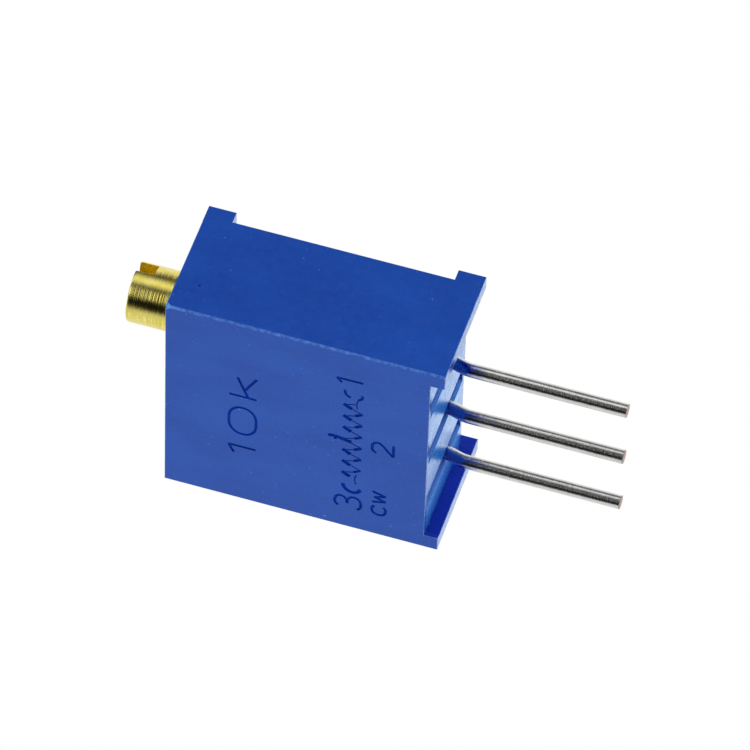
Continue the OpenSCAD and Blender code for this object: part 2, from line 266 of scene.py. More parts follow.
def tinned_wire():
    """Hot tinned copper wire with drawing lines and dimples; a painted reflection of the blue base plate lies
    over its root under a glossy coat, least on its back."""
    finish, tree, shader = new_finish("tinned_wire", Metallic=1.0, Coat_Roughness=0.05, Coat_IOR=1.9)
    place = millimetres(tree)
    lines = noise(tree, millimetres(tree, stretch=(1, 1, 0.06)), scale=14.0, rough=0.6)
    dimples = noise(tree, place, scale=13.0, rough=0.65)
    colour = blend_colour(tree, spread_noise(tree, noise(tree, place, scale=2.0)), *TIN_GREYS)
    _, depth, height = axes(tree, place)
    patches = noise(tree, place, scale=5.0, rough=0.6)
    reflection_reach = math_node(tree, "ADD", height, math_node(tree, "MULTIPLY", patches, REFLECTION_PATCHES))
    lean = math_node(tree, "MULTIPLY", math_node(tree, "SUBTRACT", height, AXIS_LEAVES), AXIS_SLOPE)
    behind = math_node(tree, "SUBTRACT", depth, math_node(tree, "MAXIMUM", lean, 0.0))
    front_share = spread(tree, behind, *REFLECTION_BACK, to_low=1.0, to_high=REFLECTION_LEFT)
    # painted reflection of the blue plate on the root, with a glossy coat over it
    painted_reflection = math_node(tree, "MULTIPLY", front_share, spread(tree, reflection_reach, *REFLECTION_RISE))
    tree.links.new(painted_reflection, shader.inputs["Coat Weight"])
    colour = blend_colour(tree, painted_reflection, colour, ROOT_REFLECTION_BLUE)
    roughness = spread(tree, dimples, 0.3, 0.75, to_low=0.10, to_high=0.24)
    drawn = bump(tree, lines, strength=0.7, depth_mm=0.005)
    surface = bump(tree, dimples, strength=0.7, depth_mm=0.008, normal=drawn)
    connect(tree, shader, colour, roughness, surface)
    return finish


def sheared_copper():
    """Cut end of the wire: copper with a smear of tin across it."""
    finish, tree, shader = new_finish("sheared_copper", Metallic=1.0)
    smear = noise(tree, millimetres(tree, stretch=(2.4, 0.5, 1)), scale=6.0, detail=4.0, rough=0.65)
    colour = blend_colour(tree, spread(tree, smear, 0.42, 0.62), *COPPER_BROWNS)
    torn = bump(tree, smear, strength=0.6, depth_mm=0.012)
    connect(tree, shader, colour, spread_noise(tree, smear, 0.30, 0.50), torn)
    return finish


def bright_solder():
    """Solder that has set bright, with a faint grain."""
    finish, tree, shader = new_finish("solder", Metallic=1.0)
    grain = noise(tree, millimetres(tree), scale=7.0, detail=5.0, rough=0.7)
    colour = blend_colour(tree, grain, rgb(0.52, 0.52, 0.52), rgb(0.72, 0.72, 0.71))
    skin = bump(tree, grain, strength=0.4, depth_mm=0.01)
    connect(tree, shader, colour, spread_noise(tree, grain, 0.18, 0.38), skin)
    return finish


def fired_alumina():
    """White ceramic with a fine fired grain."""
    finish, tree, shader = new_finish("alumina", IOR=1.6)
    place = millimetres(tree)
    grain = noise(tree, place, scale=22.0, detail=4.0, rough=0.6)
    colour = blend_colour(tree, noise(tree, place, scale=1.2), rgb(0.80, 0.79, 0.75), rgb(0.88, 0.87, 0.84))
    skin = bump(tree, grain, strength=0.5, depth_mm=0.006)
    connect(tree, shader, colour, spread_noise(tree, grain, 0.42, 0.62), skin)
    return finish


def printed_film(name, tones, metallic):
    """A screen-printed, fired film with the faint weave of the screen."""
    finish, tree, shader = new_finish(name, Metallic=metallic)
    place = millimetres(tree)
    screen = add(tree, "ShaderNodeTexWave", {"Vector": place, "Scale": 3.4, "Distortion": 0.6,
                 "Detail": 2.0}, bands_direction="X").outputs["Fac"]
    cloud = noise(tree, place, scale=3.2, detail=4.0, rough=0.65)
    weave = bump(tree, screen, strength=0.25, depth_mm=0.004)
    skin = bump(tree, cloud, strength=0.4, depth_mm=0.006, normal=weave)
    connect(tree, shader, blend_colour(tree, cloud, *tones), spread_noise(tree, cloud, 0.30, 0.52), skin)
    return finish


def turned_brass(name, centre, tones, smooth=0.09, rough=0.15):
    """Brass with turning marks that circle the axis on the side and on the end face alike."""
    finish, tree, shader = new_finish(name, Metallic=1.0, Anisotropic=0.6, Anisotropic_Rotation=0.25)
    place = millimetres(tree, centre)
    x, y, z = axes(tree, place)
    drift = math_node(tree, "MULTIPLY", noise(tree, place, scale=1.6), 0.05)
    along = math_node(tree, "ADD", math_node(tree, "ADD", z, off_axis(tree, x, y)), drift)
    marks = bump(tree, noise_line(tree, along, scale=11.0, rough=0.7), strength=1.0, depth_mm=0.014)
    stain = noise(tree, place, scale=3.2, detail=5.0, rough=0.65)
    colour = blend_colour(tree, spread(tree, stain, 0.34, 0.68), *tones)
    roughness = spread_noise(tree, noise_line(tree, along, scale=6.0, detail=2.0), smooth, rough)
    grain = noise(tree, place, scale=12.0, detail=4.0, rough=0.65)
    surface = bump(tree, grain, strength=0.25, depth_mm=0.002, normal=marks)
    connect(tree, shader, colour, roughness, surface)
    tangent = add(tree, "ShaderNodeTangent", direction_type="RADIAL", axis="Z")
    tree.links.new(tangent.outputs[0], shader.inputs["Tangent"])
    return finish


def rolled_spring(name, tones):
    """Thin rolled strip metal with rolling lines."""
    finish, tree, shader = new_finish(name, Metallic=1.0)
    lines = noise(tree, millimetres(tree, stretch=(0.2, 4, 4)), scale=5.0, detail=4.0, rough=0.6)
    rolled = bump(tree, lines, strength=0.4, depth_mm=0.004)
    connect(tree, shader, blend_colour(tree, lines, *tones), spread_noise(tree, lines, 0.20, 0.36), rolled)
    return finish


def silicone():
    """Black seal rubber with a faint bloom."""
    finish, tree, shader = new_finish("seal_rubber", IOR=1.42)
    bloom = noise(tree, millimetres(tree), scale=6.0, detail=4.0, rough=0.6)
    colour = blend_colour(tree, bloom, rgb(0.020, 0.020, 0.021), rgb(0.052, 0.052, 0.054))
    skin = bump(tree, bloom, strength=0.4, depth_mm=0.006)
    connect(tree, shader, colour, spread_noise(tree, bloom, 0.42, 0.62), skin)
    return finish


def natural_nylon():
    """Uncoloured nylon that lets a little light in."""
    finish, tree, shader = new_finish("carriage_nylon", IOR=1.53, Subsurface_Weight=0.15,
                                      Subsurface_Scale=0.0006)
    place = millimetres(tree)
    cloud = noise(tree, place, scale=1.8, detail=4.0, rough=0.6)
    colour = blend_colour(tree, cloud, rgb(0.72, 0.69, 0.58), rgb(0.82, 0.80, 0.72))
    skin = bump(tree, noise(tree, place, scale=14.0), strength=0.4, depth_mm=0.006)
    connect(tree, shader, colour, spread_noise(tree, cloud, 0.34, 0.50), skin)
    return finish


# ---------------------------------------------------------------- mesh helpers

CAD_WELD, WELD = 1e-6, 1e-7  # vertices nearer than this (m) are joined: in the CAD meshes, and in new ones
FLAT_WITHIN = 0.5  # faces that differ by less (degrees) are made one flat face


def clean_copy(name):
    """The CAD mesh of a node, with each flat face in one piece."""
    bm = bmesh.new()
    bm.from_mesh(nodes[name].data)
    bmesh.ops.remove_doubles(bm, verts=bm.verts, dist=CAD_WELD)
    bmesh.ops.dissolve_limit(bm, angle_limit=math.radians(FLAT_WITHIN), verts=bm.verts, edges=bm.edges)
    return bm


def edges_of(geom):
    return [g for g in geom if isinstance(g, bmesh.types.BMEdge)]


def verts_of(geom):
    return [g for g in geom if isinstance(g, bmesh.types.BMVert)]


def round_edges(bm, edges, offset, **extra):
    bmesh.ops.bevel(bm, geom=edges, offset=offset * MM, offset_type="OFFSET", segments=3, profile=0.5,
                    affect="EDGES", clamp_overlap=True, material=-1, **extra)


def make_piece(name, bm, finishes):
    """Makes an object of the mesh, with its faces turned outward, and frees the mesh."""
    bmesh.ops.recalc_face_normals(bm, faces=bm.faces)
    mesh = bpy.data.meshes.new(name)
    bm.to_mesh(mesh)
    bm.free()
    for finish in finishes:
        mesh.materials.append(finish)
    return place_object(name, mesh)


def evaluated_mesh(holder):
    """The mesh of an object with its modifiers or its curve's bevel worked in."""
    depsgraph = bpy.context.evaluated_depsgraph_get()
    return bpy.data.meshes.new_from_object(holder.evaluated_get(depsgraph))


def settle(piece):
    """Makes the piece's modifiers its own mesh."""
    mesh = evaluated_mesh(piece)
    piece.modifiers.clear()
    old = piece.data
    piece.data = mesh
    bpy.data.meshes.remove(old)


def carve(piece, tool, crossing=False):
    """Cuts the tool's shape out of the piece; the cut faces take the tool's finish."""
    cut = piece.modifiers.new("cut", "BOOLEAN")
    cut.operation = "DIFFERENCE"
    cut.solver = "EXACT"
    cut.use_self = crossing
    cut.material_mode = "TRANSFER"
    cut.object = tool
    settle(piece)
    bpy.data.objects.remove(tool)


def carve_ball(piece, name, centre, radius, subdivisions, finish):
    """Cuts a ball out of the piece; its centre is in metres, its radius in millimetres."""
    ball = bmesh.new()
    bmesh.ops.create_icosphere(ball, subdivisions=subdivisions, radius=radius * MM)
    bmesh.ops.translate(ball, vec=centre, verts=ball.verts)
    carve(piece, make_piece(name, ball, [finish]))


def shade_by_angle(piece, degrees):
    piece.data.shade_smooth()
    piece.data.set_sharp_from_angle(angle=math.radians(degrees))


def even_normals(piece):
    weighted = piece.modifiers.new("even_normals", "WEIGHTED_NORMAL")
    weighted.keep_sharp = True


# ---------------------------------------------------------------- marks on the front

# radius of a stroke's bar, and how far its centre is under the front face (mm)
STROKE_R, STROKE_SINK = 0.064, 0.026
HEAVY_R, HOOK_R, COIL_R, FAINT_R = 0.098, 0.088, 0.078, 0.036

# each stroke is (points, kind), in units of the letter's width and height
GLYPHS = {
    "0": [([(0.5, 1), (0.12, 0.86), (0, 0.5), (0.12, 0.14), (0.5, 0),
            (0.88, 0.14), (1, 0.5), (0.88, 0.86)], "loop")],
    "1": [([(0.05, 0.80), (0.55, 1.0), (0.55, 0.0)], "sharp")],
    "2": [([(0.02, 0.80), (0.16, 0.95), (0.48, 1.0), (0.82, 0.93),
            (0.95, 0.74), (0.82, 0.54), (0.45, 0.30), (0.0, 0.0)], "smooth"),
          ([(0.0, 0.0), (1.0, 0.0)], "sharp")],
    "3": [([(0.02, 0.87), (0.22, 0.98), (0.52, 1.0), (0.84, 0.90),
            (0.88, 0.72), (0.70, 0.57), (0.36, 0.53)], "smooth"),
          ([(0.36, 0.53), (0.76, 0.49), (0.98, 0.30), (0.86, 0.09),
            (0.50, 0.0), (0.20, 0.03), (0.0, 0.15)], "smooth")],
    "C": [([(0.97, 0.82), (0.80, 0.97), (0.50, 1.0), (0.14, 0.86), (0.0, 0.5),
            (0.14, 0.14), (0.50, 0.0), (0.80, 0.03), (0.97, 0.18)], "smooth")],
    "W": [([(0.0, 1.0), (0.24, 0.0), (0.5, 0.85), (0.76, 0.0), (1.0, 1.0)], "sharp")],
    "k": [([(0.05, 1.0), (0.05, 0.0)], "sharp"),
          ([(0.85, 0.70), (0.05, 0.30)], "sharp"),
          ([(0.34, 0.44), (0.95, 0.0)], "sharp")],
}

# sign, left edge X, foot Z, width, height (mm)
LETTERING = [
    ("3", -3.70, 2.86, 0.66, 0.96),
    ("1", 3.10, 2.92, 0.42, 0.96),
    ("2", -0.26, 1.74, 0.62, 0.78),
    ("C", -3.66, 1.95, 0.48, 0.50),
    ("W", -3.00, 1.95, 0.58, 0.50),
    ("1", -2.30, 6.78, 0.80, 1.00),
    ("0", -1.15, 6.78, 1.45, 1.00),
    ("k", 0.85, 6.78, 1.25, 1.00),
]

# the winding: its turns to each side of the middle, and their distance (mm)
COIL_SIDE, COIL_STEP = 3, 0.622

# the winding's hooked ends and the wiper's arrow, in X and Z (mm)
HOOKS_AND_ARROW = [
    ([(-2.41, 3.56), (-2.66, 3.44), (-2.78, 3.21), (-2.74, 3.04), (-2.54, 2.89)], "smooth", HOOK_R),
    ([(-2.30, 3.07), (-2.00, 3.12), (-1.75, 3.06)], "smooth", FAINT_R),
    ([(2.40, 3.36), (2.52, 3.52), (2.76, 3.58)], "smooth", STROKE_R),
    ([(2.37, 3.07), (2.49, 2.95), (2.65, 2.92)], "smooth", STROKE_R),
    ([(1.86, 3.11), (2.18, 3.13), (2.37, 3.07)], "smooth", FAINT_R),
    ([(0.07, 4.14), (0.12, 3.90)], "sharp", HOOK_R),
    ([(-0.07, 3.87), (0.17, 3.89)], "sharp", STROKE_R),
    ([(0.11, 3.86), (-0.02, 3.28)], "sharp", HEAVY_R),
]


def coil_strokes():
    """The wiring sign: a winding of heavy slanted strokes, its two hooked ends and the wiper's arrow."""
    strokes = []
    for turn in range(-COIL_SIDE, COIL_SIDE + 1):
        x = turn * COIL_STEP
        if turn:
            strokes.append(([(x - 0.07, 3.30), (x + 0.12, 3.60)], "sharp", HEAVY_R))
        if turn < COIL_SIDE:
            weight = STROKE_R if turn == -COIL_SIDE else COIL_R
            strokes.append(([(x + 0.22, 3.17), (x + 0.40, 2.91)], "sharp", weight))
        strokes.append(([(x + 0.10, 3.60), (x + 0.22, 3.17)], "sharp", FAINT_R))
        if turn > -COIL_SIDE:
            strokes.append(([(x - 0.22, 2.92), (x - 0.07, 3.28)], "sharp", FAINT_R))
    return strokes + HOOKS_AND_ARROW


def all_strokes():
    """Every stroke as (points, kind, radius); the letters' straight strokes are cut up at their corners."""
    strokes = coil_strokes()
    for sign, x, z, wide, high in LETTERING:
        for points, kind in GLYPHS[sign]:
            placed = [(x + wide * u, z + high * v) for u, v in points]
            if kind == "sharp":
                strokes += [(list(pair), kind, STROKE_R) for pair in zip(placed, placed[1:])]
            else:
                strokes.append((placed, kind, STROKE_R))
    return strokes


def stroke_body(points, kind, radius, front):
    """A round bar that follows one stroke, just under the front face."""
    curve = bpy.data.curves.new("stroke", "CURVE")
    curve.dimensions = "3D"
    curve.bevel_depth = radius * MM
    curve.bevel_resolution = 2
    curve.resolution_u = 5
    curve.use_fill_caps = True
    spline = curve.splines.new("BEZIER")
    spline.bezier_points.add(len(points) - 1)
    spline.use_cyclic_u = kind == "loop"
    handle = "VECTOR" if kind == "sharp" else "AUTO"
    for point, (x, z) in zip(spline.bezier_points, points):
        point.co = Vector((x, front + STROKE_SINK, z)) * MM
        point.handle_left_type = point.handle_right_type = handle
    holder = place_object("stroke", curve)
    bpy.context.view_layer.update()
    mesh = evaluated_mesh(holder)
    bpy.data.objects.remove(holder)
    return mesh


def stroke_tool(front, finish):
    """All strokes as one cutter."""
    tool = bmesh.new()
    for points, kind, radius in all_strokes():
        mesh = stroke_body(points, kind, radius, front)
        tool.from_mesh(mesh)
        bpy.data.meshes.remove(mesh)
    bmesh.ops.remove_doubles(tool, verts=tool.verts, dist=WELD)
    return make_piece("strokes", tool, [finish])


# ---------------------------------------------------------------- housing

FOOT_H, FOOT_IN = 0.51, 4.175  # the feet's height, and the X of their inner faces
WALL_FROM = FOOT_IN - 0.1  # what is further out than this X belongs to the side walls
# the lead end's edges: their rounding, and the least angle (degrees) that counts as one
MOUTH_ROUND, MOUTH_SHARP = 0.08, 70
SLOT_ROUND, SLOT_EDGE_LEN = 0.08, 0.2  # the base plate's slots: rounding and least length of their edges
# the front upright edge: how far it is cut back along each face, and the rounding of the cut
EDGE_CUT, EDGE_ROUND = 0.065, 0.028
MOULDING_SHARP = 28  # edges of the moulding that are sharper than this (degrees) stay sharp
EDGE_FACE = 1.2e-6  # slanted faces below this area (m2) belong to the rounded edges

# the small pit in the housing's side by the screw: radius, how far past the face its centre is, Y and Z
PIT_R, PIT_OUT, PIT_Y, PIT_Z = 0.05, 0.005, -1.168, 9.319
# the chip at the upper front corner: radius, and how far and which way its centre is from the corner
CHIP_R, CHIP_OUT, CHIP_WAY = 0.33, 0.18, Vector((0.85, -1, 0.6))

# how pale the edges turn: partly wear, partly a painted highlight
EDGE_WEAR_AND_HIGHLIGHT, UPRIGHT_WEAR_AND_HIGHLIGHT = 0.9, 0.5  # how much of the finish is scuffed at full wear
EDGE, INNER, RUBBED_AND_LIT = 1, 2, 3  # places in the housing's list of finishes, after its skin
SLOT_WALL = 1  # place of the slot walls' finish in the base plate's list


def is_mouth_edge(corner, front):
    """True for the convex edges of the feet and of the walls around the lead end."""
    if len(corner.link_faces) != 2 or not corner.is_convex:
        return False
    ends = [v.co / MM for v in corner.verts]
    if corner.calc_face_angle(0) < math.radians(MOUTH_SHARP) or max(p.z for p in ends) > FOOT_H + SAME:
        return False
    if all(abs(p.z - FOOT_H) < SAME for p in ends):
        return all(abs(p.y - front) < SAME for p in ends)
    return all(abs(p.x) < FOOT_IN + SAME for p in ends)


def round_upright(bm, corner):
    """Cuts the upright edge between the marked face and the screw's side back, and rounds it."""
    outward = Vector((1, -1, 0)).normalized()
    cut_at = corner - outward * EDGE_CUT / math.sqrt(2) * MM
    cut = bmesh.ops.bisect_plane(bm, geom=bm.verts[:] + bm.edges[:] + bm.faces[:], dist=WELD,
                                 plane_co=cut_at, plane_no=outward, clear_outer=True)["geom_cut"]
    bmesh.ops.contextual_create(bm, geom=edges_of(cut))
    tall = [e for e in edges_of(cut) if abs(e.verts[0].co.z - e.verts[1].co.z) > 1.0 * MM]
    round_edges(bm, tall, EDGE_ROUND)


def build_housing():
    """The moulded shell, with worn edges, sunk marks, a small pit and a chip; painted highlight on the edges,
    painted shade in the marks, the pit and on the inner walls.
    """
    body_low, body_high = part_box("housing")
    front = body_low.y / MM
    skin = moulded_blue("moulded_blue")
    edge = moulded_blue("moulded_blue_edge_worn_and_lit", wear_and_highlight=EDGE_WEAR_AND_HIGHLIGHT)
    # the sunk marks and the pit get a deeper blue of painted shade
    recess = moulded_blue("moulded_blue_recess_shade", tones=RECESS_SHADE_BLUES, gloss_ior=MARK_IOR)
    rubbed_and_lit = moulded_blue("moulded_blue_rubbed_and_lit", wear_and_highlight=UPRIGHT_WEAR_AND_HIGHLIGHT)
    # the inner faces of the side walls get a finish of painted shade
    inner = moulded_blue("moulded_blue_inner_shade", tones=INNER_SHADE_BLUES, gloss_ior=INNER_IOR)
    torn = moulded_blue("moulded_blue_torn", tones=TORN_BLUES)
    bm = clean_copy("housing")
    round_upright(bm, Vector((body_high.x, body_low.y, 0)))
    rim = [corner for corner in bm.edges if is_mouth_edge(corner, front)]
    round_edges(bm, rim, MOUTH_ROUND, loop_slide=True)
    housing = make_piece("housing_shell", bm, [skin, edge, inner, rubbed_and_lit])
    for face in housing.data.polygons:
        n, middle = face.normal, face.center / MM
        # the rounded front upright edge and the other small rounded edges: wear and a painted highlight
        if n.x > 0.2 and n.y < -0.2 and abs(n.z) < 0.1:
            face.material_index = RUBBED_AND_LIT
        elif sorted(abs(c) for c in n)[1] > 0.3 and face.area < EDGE_FACE:
            face.material_index = EDGE
        # the inner faces of the side walls take the painted shade
        elif n.x * middle.x < 0 and abs(n.x) > 0.9 and abs(middle.x) > WALL_FROM:
            face.material_index = INNER
    carve(housing, stroke_tool(front, recess), crossing=True)
    pit = Vector((body_high.x / MM + PIT_OUT, PIT_Y, PIT_Z)) * MM
    carve_ball(housing, "pit", pit, PIT_R, 2, recess)
    corner = Vector((body_high.x, body_low.y, body_high.z))
    carve_ball(housing, "chip", corner + CHIP_WAY.normalized() * CHIP_OUT * MM, CHIP_R, 3, torn)
    shade_by_angle(housing, MOULDING_SHARP)
    even_normals(housing)
    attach(housing, "case")
    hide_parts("housing")


def is_slot_mouth(corner):
    """True for the long edges at which the base plate's slots open."""
    a, b = (v.co / MM for v in corner.verts)
    level = max(abs(a.z - FOOT_H), abs(b.z - FOOT_H)) < SAME
    return level and abs(a.y - b.y) > SLOT_EDGE_LEN and abs(a.x - b.x) < SAME and abs(a.x) < WALL_FROM


def build_base_plate():
    """The plate that closes the lead end, with softened mouths on its three slots, painted light on the
    slots' walls and painted shade beside lead 3's wall.
    """
    bm = clean_copy("base_plate")
    round_edges(bm, [corner for corner in bm.edges if is_slot_mouth(corner)], SLOT_ROUND)
    bm.normal_update()
    for face in bm.faces:
        middle = face.calc_center_median() / MM
        # the slot walls take the pale tone of painted light
        if abs(face.normal.x) > 0.9 and abs(middle.x) < WALL_FROM and abs(face.normal.z) < 0.3:
            face.material_index = SLOT_WALL
    # the plate's finish carries the painted shade beside lead 3's wall
    plate = make_piece("closing_plate", bm, [
        moulded_blue("plate_blue", tones=PLATE_BLUES, gloss_ior=PLATE_IOR, fillet_shade=True),
        moulded_blue("slot_blue_painted_light", tones=SLOT_WALL_LIGHT_BLUES, gloss_ior=PLATE_IOR),
    ])
    shade_by_angle(plate, MOULDING_SHARP)
    even_normals(plate)
    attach(plate, "case")
    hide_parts("base_plate")


# ---------------------------------------------------------------- leads

LEAD_R, LEAD_SIDES = 0.255, 48
BEND_R, BEND_LOW, BEND_STEPS = 1.2, -0.3, 12  # the bends' radius, the Z where the lower one starts, its steps
LEAN, LEAN_LEN = math.atan2(*LEAD_LEAN), 1.7
# the cut tip: how much smaller its flat end and the start of its broken edge are, and that edge's height
TIP_FLAT, TIP_IN, TIP_EDGE = 0.035, 0.010, 0.015
TIP_SAME = 0.001  # faces that are this near the tip (mm) are the cut
WIRE_SHARP = 35


def grow(bm, ring):
    """Starts a new band at the ring of edges; gives the band's vertices and edges."""
    grown = bmesh.ops.extrude_edge_only(bm, edges=ring)["geom"]
    return verts_of(grown), edges_of(grown)


def run_on(bm, ring, way, length):
    """Carries the ring of edges straight on."""
    verts, ring = grow(bm, ring)
    bmesh.ops.translate(bm, vec=way * length * MM, verts=verts)
    return ring


def bend(bm, ring, x, y, z, turn):
    """Carries the ring of edges round a centre."""
    grown = bmesh.ops.spin(bm, geom=ring, cent=Vector((x, y, z)) * MM, axis=(1, 0, 0), angle=turn,
                           steps=BEND_STEPS)
    return edges_of(grown["geom_last"])


def build_lead(name, tin, copper):
    """Round wire with a broken edge at its cut tip and a lean between its two bends."""
    low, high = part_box(name)
    x = (low.x + high.x) / 2 / MM
    tip, top = low.z / MM, high.z / MM
    rise, shift = BEND_R * math.sin(LEAN), BEND_R * (1 - math.cos(LEAN))
    leaning = Vector((0, math.sin(LEAN), math.cos(LEAN)))
    pad_y = 2 * shift + LEAN_LEN * leaning.y
    pad_z = BEND_LOW + 2 * rise + LEAN_LEN * leaning.z
    bm = bmesh.new()
    bmesh.ops.create_circle(bm, cap_ends=True, segments=LEAD_SIDES, radius=(LEAD_R - TIP_FLAT) * MM,
                            matrix=Matrix.Translation(Vector((x, 0, tip)) * MM))
    ring = bm.faces[:][0].edges[:]
    for wide, step in ((LEAD_R - TIP_IN, 0.0), (LEAD_R, TIP_EDGE)):
        verts, ring = grow(bm, ring)
        radius = (verts[0].co - Vector((x * MM, 0, verts[0].co.z))).length
        bmesh.ops.scale(bm, vec=(wide * MM / radius,) * 2 + (1,), verts=verts,
                        space=Matrix.Translation(Vector((-x, 0, 0)) * MM))
        bmesh.ops.translate(bm, vec=UP * step * MM, verts=verts)
    ring = run_on(bm, ring, UP, TIP_EDGE)
    ring = run_on(bm, ring, UP, BEND_LOW - tip - 2 * TIP_EDGE)
    ring = bend(bm, ring, x, BEND_R, BEND_LOW, -LEAN)
    ring = run_on(bm, ring, leaning, LEAN_LEN)
    ring = bend(bm, ring, x, pad_y - BEND_R, pad_z, LEAN)
    ring = run_on(bm, ring, UP, top - pad_z)
    bmesh.ops.contextual_create(bm, geom=ring)
    bmesh.ops.remove_doubles(bm, verts=bm.verts, dist=WELD)
    piece = make_piece(name + "_wire", bm, [tin, copper])
    for face in piece.data.polygons:
        face.material_index = int(face.normal.z < -0.9 and face.center.z < (tip + TIP_SAME) * MM)
    shade_by_angle(piece, WIRE_SHARP)
    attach(piece, "case")
    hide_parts(name)


# ---------------------------------------------------------------- screw

SCREW_X, SCREW_Y = 3.525, -1.145
HEAD_R, HEAD_LOW, HEAD_FLAT = 1.09, 10.18, 0.07
DRIVER_SLOT_W, DRIVER_SLOT_DEPTH, DRIVER_SLOT_ANGLE = 0.60, 0.70, 18.6
SAW_LEN = 4  # longer than the head is wide
JOURNAL_R, GROOVE_R, NECK_R, PILOT_R, PILOT_BREAK = 0.725, 0.425, 0.42, 0.40, 0.08
THREAD_R, THREAD_PITCH, THREAD_DEEP = 0.62, 0.254, 0.09
CORE_R = THREAD_R - THREAD_DEEP
SEAL_Z, GROOVE_HALF = 9.65, 0.20
NECK_LOW, NECK_TOP = 8.88, 9.17
THREAD_LOW, PILOT_LOW = 1.37, 1.06
LIP = 0.02  # size of the breaks on the turned form's corners, and of the narrow rings beside them
TURNED_SIDES = 120
# the thread's ridge: free length at both ends, half its foot as a share of the pitch, half its crest,
# how deep its foot is in the core, and its steps in a turn
RIDGE_FREE, RIDGE_SHARE, CREST_HALF, RIDGE_SINK, RIDGE_STEPS = 0.16, 0.42, 0.02, 0.02, 20
BRASS_ROUND, BRASS_ROUND_AT, BRASS_SHARP = 0.012, 50, 32  # rounding of the edges (mm), and two angles

POLISHED_BRASS = rgb(0.76, 0.64, 0.11), rgb(0.88, 0.78, 0.25)
# deep orange in the driver slot: the brass, with a painted reflection of the slot's own brass walls
SLOT_BRASS_AND_REFLECTION = rgb(0.64, 0.38, 0.004), rgb(0.97, 0.74, 0.010)
SAWN_ROUGHNESS = 0.42, 0.6


def lathe(bm, profile, segments):
    """Turns a profile of (radius, height) about the screw's axis."""
    axis = Vector((SCREW_X, SCREW_Y, 0))
    verts = [bm.verts.new((axis + Vector((r, 0, z))) * MM) for r, z in profile]
    edges = [bm.edges.new(pair) for pair in zip(verts, verts[1:])]
    bmesh.ops.spin(bm, geom=verts + edges, cent=axis * MM, axis=UP, angle=math.tau,
                   steps=segments, use_merge=True)
    bmesh.ops.remove_doubles(bm, verts=bm.verts, dist=WELD)


def thread_ridge(bm):
    """A helical ridge along the lead screw, wide at its foot and narrow at its crest."""
    low, high = THREAD_LOW + RIDGE_FREE, NECK_LOW - RIDGE_FREE
    turns = (high - low) / THREAD_PITCH
    steps = int(turns * RIDGE_STEPS)
    foot, half = CORE_R - RIDGE_SINK, THREAD_PITCH * RIDGE_SHARE
    verts = [bm.verts.new(Vector((SCREW_X + r, SCREW_Y, low + z)) * MM)
             for r, z in ((foot, -half), (THREAD_R, -CREST_HALF), (THREAD_R, CREST_HALF), (foot, half))]
    face = bm.faces.new(verts)
    bmesh.ops.spin(bm, geom=[face] + face.edges[:] + verts, cent=Vector((SCREW_X, SCREW_Y, 0)) * MM,
                   axis=UP, dvec=UP * (high - low) / steps * MM, angle=turns * math.tau, steps=steps)


def screw_profile(head_top):
    """(radius, height) of the turned form, from the pilot's end to the middle of the head."""
    groove_low, groove_top = SEAL_Z - GROOVE_HALF, SEAL_Z + GROOVE_HALF
    return [
        (0, PILOT_LOW), (PILOT_R - PILOT_BREAK, PILOT_LOW), (PILOT_R, PILOT_LOW + PILOT_BREAK),
        (PILOT_R, THREAD_LOW), (CORE_R, THREAD_LOW + LIP), (CORE_R, NECK_LOW - LIP),
        (NECK_R, NECK_LOW), (NECK_R, NECK_TOP), (JOURNAL_R, NECK_TOP), (JOURNAL_R, groove_low),
        (GROOVE_R, groove_low), (GROOVE_R, groove_top), (JOURNAL_R, groove_top), (JOURNAL_R, HEAD_LOW),
        (HEAD_R - LIP, HEAD_LOW), (HEAD_R, HEAD_LOW + LIP), (HEAD_R, HEAD_LOW + 2 * LIP),
        (HEAD_R, head_top - HEAD_FLAT - LIP), (HEAD_R, head_top - HEAD_FLAT),
        (HEAD_R - LIP, head_top - LIP), (HEAD_R - HEAD_FLAT, head_top),
        (HEAD_R - HEAD_FLAT - LIP, head_top), (0, head_top),
    ]


def driver_saw(head_top, finish):
    """The block that is cut out of the head for the driver slot."""
    saw = bmesh.new()
    bmesh.ops.create_cube(saw, size=MM)
    bmesh.ops.scale(saw, vec=(SAW_LEN, DRIVER_SLOT_W, 2 * DRIVER_SLOT_DEPTH), verts=saw.verts)
    bmesh.ops.rotate(saw, cent=(0, 0, 0), matrix=Matrix.Rotation(math.radians(DRIVER_SLOT_ANGLE), 3, "Z"),
                     verts=saw.verts)
    bmesh.ops.translate(saw, vec=Vector((SCREW_X, SCREW_Y, head_top)) * MM, verts=saw.verts)
    return make_piece("saw", saw, [finish])


def build_screw():
    """The turned brass screw, with its sawn driver slot and the ridge of its thread."""
    head_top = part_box("adjustment_screw")[1].z / MM
    axis = (SCREW_X, SCREW_Y, 0)
    brass = turned_brass("turned_brass", axis, POLISHED_BRASS)
    slot_brass = turned_brass("slot_brass_painted_reflection", axis, SLOT_BRASS_AND_REFLECTION, *SAWN_ROUGHNESS)
    bm = bmesh.new()
    lathe(bm, screw_profile(head_top), TURNED_SIDES)
    screw = make_piece("screw", bm, [brass])
    carve(screw, driver_saw(head_top, slot_brass))
    bm = bmesh.new()
    bm.from_mesh(screw.data)
    thread_ridge(bm)
    bm.to_mesh(screw.data)
    bm.free()
    rounding = screw.modifiers.new("edges", "BEVEL")
    rounding.width = BRASS_ROUND * MM
    rounding.segments = 2
    rounding.limit_method = "ANGLE"
    rounding.angle_limit = math.radians(BRASS_ROUND_AT)
    settle(screw)
    shade_by_angle(screw, BRASS_SHARP)
    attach(screw, "screw")
    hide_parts("adjustment_screw")


# ---------------------------------------------------------------- dressing the kept parts

